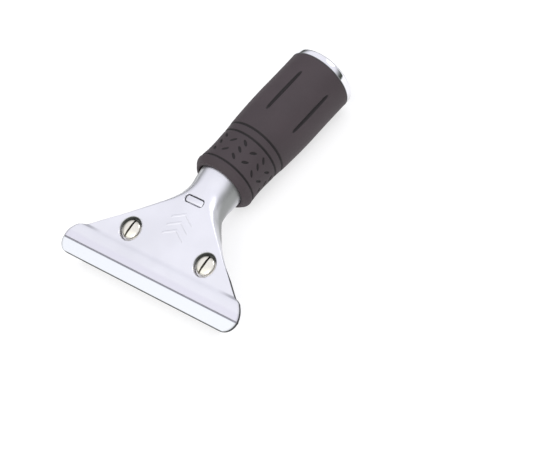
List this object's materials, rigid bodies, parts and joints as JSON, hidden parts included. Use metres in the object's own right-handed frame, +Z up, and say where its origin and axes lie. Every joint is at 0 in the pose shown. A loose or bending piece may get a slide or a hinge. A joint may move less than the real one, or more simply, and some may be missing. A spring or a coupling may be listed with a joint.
{
  "type": "clamp-head scraper handle",
  "caption": "Hand-tool handle with a wide pressed-steel clamp head for a blade or strip, a rubber grip and an open socket end for a pole.",
  "frame": {"origin": "on the surface that the tool rests on, under the middle of its box", "axes": "+X across the clamp head, +Y along the handle towards its open rear end, +Z up"},
  "size_m": [0.1092, 0.1381, 0.0334],
  "materials": {
    "satin_steel": "satin pressed stainless steel",
    "tube_steel": "drawn steel tube",
    "screw_nickel": "bright nickel plate",
    "nut_zinc": "dull zinc plate",
    "grip_rubber": "matt moulded rubber",
    "ring_chrome": "polished"
  },
  "bodies": {
    "handle": {"head_shell": "satin_steel", "handle_tube": "tube_steel", "grip_sleeve": "grip_rubber", "end_ring": "ring_chrome"},
    "lower_jaw": {"clamp_plate": "satin_steel", "left_clamp_nut": "nut_zinc", "right_clamp_nut": "nut_zinc"},
    "left_screw": {"left_clamp_screw": "screw_nickel"},
    "right_screw": {"right_clamp_screw": "screw_nickel"}
  },
  "joints": [
    {"name": "left_screw_turn", "type": "hinge", "parent": "handle", "child": "left_screw", "pos_m": [-0.0233, -0.04767, 0.0145], "axis": [0, -0.3272, 0.9449], "range_deg": [0, 1080]},
    {"name": "right_screw_turn", "type": "hinge", "parent": "handle", "child": "right_screw", "pos_m": [0.0233, -0.04767, 0.0145], "axis": [0, -0.3272, 0.9449], "range_deg": [0, 1080]},
    {"name": "jaw_opening", "type": "slide", "parent": "handle", "child": "lower_jaw", "axis": [0, 0.3272, -0.9449], "range_m": [0, 0.0024]}
  ],
  "couplings": [
    {"joint": "left_screw_turn", "follows": "jaw_opening", "rad_per_m": 7854},
    {"joint": "right_screw_turn", "follows": "jaw_opening", "rad_per_m": 7854}
  ]
}
